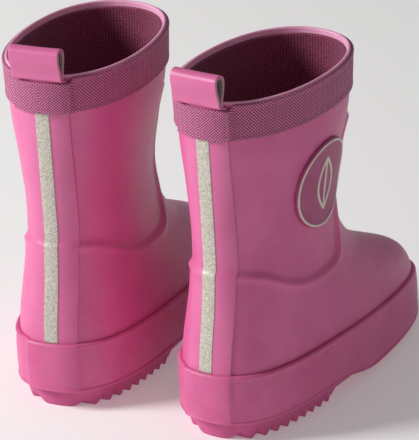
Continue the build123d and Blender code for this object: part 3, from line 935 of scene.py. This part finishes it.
def makeBadge(side):
    b = badge
    around = np.linspace(0, 2 * math.pi, 120, endpoint=False)
    r = b["radius"]

    def disc(angle, share):
        return (r * share * math.cos(angle), r * share * math.sin(angle))

    e = b["edge"]
    bend = np.linspace(0, math.pi / 2, 6)
    edgeRows = [((r - e + e * math.sin(t)) / r, b["wall"] - e + e * math.cos(t)) for t in bend]
    rows = [(share, b["wall"]) for share in np.linspace(0.02, (r - e) / r, 14)[:-1]] + edgeRows + [(1.0, -b["sink"])]
    points = badgeGrid(around, disc, rows)
    piece = layPiece("badgeDisc", side, points[::-1], closedColumns=True, capped=True)
    finishPiece(piece, finishes["badgeRubber"], "badge_rubber", f"{side}_boot", f"{side}_badge_disc")

    low, top = b["wall"] - b["sink"], b["wall"] + b["ringRise"]
    outer = r - b["ringInset"]
    inner = outer - b["ringWidth"]
    edge = b["ringEdge"]
    ringRows = [
        (outer / r, low), (outer / r, top - edge), ((outer - edge) / r, top),
        ((inner + edge) / r, top), (inner / r, top - edge), (inner / r, low),
    ]
    points = badgeGrid(around, disc, ringRows)
    piece = layPiece("badgeRing", side, points[::-1], closedRows=True, closedColumns=True)
    finishPiece(piece, finishes["badgeTrim"], "badge_trim", f"{side}_boot", f"{side}_badge_ring")

    half, halfLeaf = b["leafLength"] / 2, b["leafWidth"] / 2
    line, soft = b["lineWidth"], b["lineEdge"]

    def leafEdge(angle, inset):
        tip, belly = half - inset * 2, halfLeaf - inset
        up = math.sin(angle)
        return (belly * (1 - up * up) * (1 if math.cos(angle) > 0 else -1), tip * up)

    leafRows = [(0, low), (0, top - edge), (soft, top), (line - soft, top), (line, top - edge), (line, low)]
    points = badgeGrid(around, leafEdge, leafRows)
    piece = layPiece("badgeEmblem", side, points[::-1], closedRows=True, closedColumns=True)
    finishPiece(piece, finishes["badgeTrim"], "badge_trim", f"{side}_boot", f"{side}_badge_emblem")

    reach = half - b["ribGap"] * line
    along = np.linspace(-reach, reach, 40)

    def rib(place, across):
        return (across, place)

    ribRows = [
        (-line / 2, low), (-line / 2, top - edge), (-line / 2 + soft, top),
        (line / 2 - soft, top), (line / 2, top - edge), (line / 2, low),
    ]
    points = badgeGrid(along, rib, ribRows)
    piece = layPiece("badgeMidrib", side, points, closedRows=True)
    finishPiece(piece, finishes["badgeTrim"], "badge_trim", f"{side}_boot")


# Footbed: loose felt pad inside


footbed = {"bottom": 20.3, "wall": 3.6, "grow": -5.2, "round": 1.2, "middle": 95.0, "columns": 220}


def makeFootbed(side):
    f = footbed
    turn = evenTurns(f["columns"], bootForm["toeWall"])
    edge = skin(turn, 20.0, f["grow"])[:, :2]
    centre = np.array((0.0, f["middle"]))
    top = f["bottom"] + f["wall"]
    bend = np.linspace(0, math.pi / 2, 5)
    # share of the way out to the edge, height and inset
    rows = [
        (0.05, f["bottom"], 0.0), (0.6, f["bottom"], 0.0), (1.0, f["bottom"], 0.4), (1.0, f["bottom"] + 0.4, 0.0),
    ]
    rows += [(1.0, top - f["round"] + f["round"] * math.sin(t), f["round"] * (1 - math.cos(t))) for t in bend]
    rows += [(share, top, 0.0) for share in np.linspace(0.95, 0.03, 24)]
    grid = []
    for share, height, inset in rows:
        reach = edge - centre
        size = np.linalg.norm(reach, axis=1)[:, None]
        flat = centre + reach * (share - inset / size)
        grid.append(np.hstack((flat, np.full((len(flat), 1), height))))
    piece = layPiece("footbed", side, np.array(grid), closedColumns=True, capped=True)
    finishPiece(piece, finishes["feltFootbed"], "footbed_felt", f"{side}_footbed", f"{side}_footbed")


# Outsole: saw teeth round its edge, cut back between one tooth and the next


outsole = {
    "top": 12.0,
    "grow": 0.6,
    "pitch": 7.3,
    "toothRise": 3.0,
    "cutBack": 1.5,
    "taper": 2.2,  # how far the sole draws in towards the ground
    "land": 0.16,  # share of the pitch that stays flat
    "archStart": 74.0,
    "archEnd": 113.0,
    "archHeight": 6.0,
    "heelStart": 3.0,  # where the heel's teeth begin
    "groundEdge": 0.4,  # rounding where it meets the ground
    "archRamp": 4.0,
    "seamReach": 3.0,  # how far its top runs in under the foxing
    "columns": 900,
}


# 0 on a tooth's flat and 1 at the bottom of the cut beside it.
def toothShare(y):
    o = outsole
    start = np.where(y < o["archStart"], o["heelStart"], o["archEnd"])
    phase = np.mod((y - start) / o["pitch"], 1.0)
    return np.clip(1 - np.abs(phase - (1 + o["land"]) / 2) / ((1 - o["land"]) / 2), 0, 1)


def makeOutsole(side):
    o = outsole
    turn = evenTurns(o["columns"], bootForm["toeWall"])[None, :]
    edge = skin(turn, 0.0, 0.0)
    y = edge[..., 1]
    ramp = o["archRamp"]
    arch = ease((y - o["archStart"] + ramp / 2) / ramp) * ease((o["archEnd"] + ramp / 2 - y) / ramp)
    cut = toothShare(y) * (1 - arch)
    ground = np.maximum(arch * o["archHeight"], cut * o["toothRise"])
    rows = [(np.full_like(y, o["top"]), np.full_like(y, grow)) for grow in (-o["seamReach"], o["grow"])]
    for share in (0.75, 0.5, 0.3, 0.15, 0.0):
        height = mix(ground, o["top"], share)
        drawn = o["taper"] * (1 - height / o["top"]) + o["groundEdge"] * (share == 0)
        rows.append((height, o["grow"] - cut * o["cutBack"] * ease(1 - share * 1.6) - drawn))
    points = [skin(turn, height, grow)[0] for height, grow in rows]
    outline = points[-1]
    for share in (0.93, 0.8, 0.6, 0.4, 0.2, 0.0):
        inner = outline.copy()
        inner[:, 0] = outline[:, 0] * share
        inner[:, 2] = ground[0]
        if share < 0.45:  # no teeth in the middle
            inner[:, 2] = arch[0] * o["archHeight"]
        points.append(inner)
    piece = layPiece("outsole", side, np.array(points), closedColumns=True)
    finishPiece(piece, finishes["outsoleRubber"], "sole_rubber", f"{side}_boot", f"{side}_outsole")


for side in ("left", "right"):
    makeUpper(side)
    makeLining(side)
    makeOutsole(side)
    makeFoxing(side)
    makeStrip(side)
    makeBinding(side)
    makeLoop(side)
    makeBadge(side)
    makeFootbed(side)
    print(side, "boot built")

# CAD pieces that keep their own mesh, nearly all out of sight, with their finishes
keptNodes = {
    "loop_tails": "stripRubber",
    "midsole_filler": "outsoleRubber",
    "insole_board": "feltFootbed",
    "fabric_ply": "knitLining",
    "toe_puff": "outsoleRubber",
    "heel_counter": "outsoleRubber",
}
for side in ("left", "right"):
    for node, finish in keptNodes.items():
        mesh = bpy.data.objects[f"{side}_{node}"].data
        mesh.materials.clear()
        mesh.materials.append(finishes[finish])

# Floor, lights and camera
studio = {
    "floor": "#EDECEB",
    "floorSize": 12.0,
    "world": "#FFFFFF",
    "worldStrength": 0.19,
    "floorGlow": 0.22,
    "keyPower": 43.0,
    "fillPower": 1.0,
    "azimuth": 30.4,  # degrees, as are elevation and roll; the distances after them are millimetres
    "elevation": 23.5,
    "roll": 3.4,
    "distance": 2200.0,
    "lens": 336.6,
    "aimAcross": 24.0,
    "aimHeight": 98.2,
    "aimForward": -47.8,
}


def makeFloor():
    # Matt white paper: no gloss, and glowing a little so that shadows stay pale
    look = {"colour": studio["floor"], "roughness": 0.9, "ior": 1.45}
    material, _, shader = newMaterial("paperSweep", look)
    bpy.ops.mesh.primitive_plane_add(size=studio["floorSize"])
    floor = bpy.context.object
    floor.name = "floor"
    shader.inputs["Emission Color"].default_value = toLinear(studio["floor"])
    shader.inputs["Emission Strength"].default_value = studio["floorGlow"]
    floor.data.materials.append(material)


def areaLight(name, place, aim, size, power):
    light = bpy.data.lights.new(name, "AREA")
    light.shape = "DISK"
    light.size = size
    light.energy = power
    lamp = bpy.data.objects.new(name, light)
    lamp.location = place
    lamp.rotation_euler = (Vector(aim) - Vector(place)).to_track_quat("-Z", "Y").to_euler()
    bpy.context.scene.collection.objects.link(lamp)


def makeCamera():
    s = studio
    a, e, r = (math.radians(s[k]) for k in ("azimuth", "elevation", "roll"))
    back = Vector((math.sin(a) * math.cos(e), -math.cos(a) * math.cos(e), math.sin(e)))
    right = Vector((math.cos(a), math.sin(a), 0))
    above = Vector((-math.sin(a) * math.sin(e), math.cos(a) * math.sin(e), math.cos(e)))
    aim = Vector((
        s["aimAcross"] * math.cos(a), s["aimAcross"] * math.sin(a) + s["aimForward"], s["aimHeight"]
    )) / 1000
    camera = bpy.data.cameras.new("camera")
    camera.sensor_width = 36
    camera.lens = s["lens"]
    camera.clip_end = 50
    holder = bpy.data.objects.new("camera", camera)
    turn = Matrix((
        right * math.cos(r) - above * math.sin(r),
        right * math.sin(r) + above * math.cos(r),
        back,
    )).transposed().to_4x4()
    holder.matrix_world = Matrix.Translation(aim + back * s["distance"] / 1000) @ turn
    bpy.context.scene.collection.objects.link(holder)
    bpy.context.scene.camera = holder


makeFloor()
world = bpy.data.worlds.new("studio")
world.use_nodes = True
backdrop = world.node_tree.nodes["Background"]
backdrop.inputs["Color"].default_value = toLinear(studio["world"])
backdrop.inputs["Strength"].default_value = studio["worldStrength"]
bpy.context.scene.world = world
areaLight("keyLight", (-1.5, -1.0, 1.15), (0, 0, 0.1), 0.7, studio["keyPower"])
areaLight("fillLight", (1.4, -0.6, 0.9), (0, 0, 0.1), 1.0, studio["fillPower"])
bpy.context.scene.view_settings.view_transform = "Standard"
makeCamera()
print("studio set")
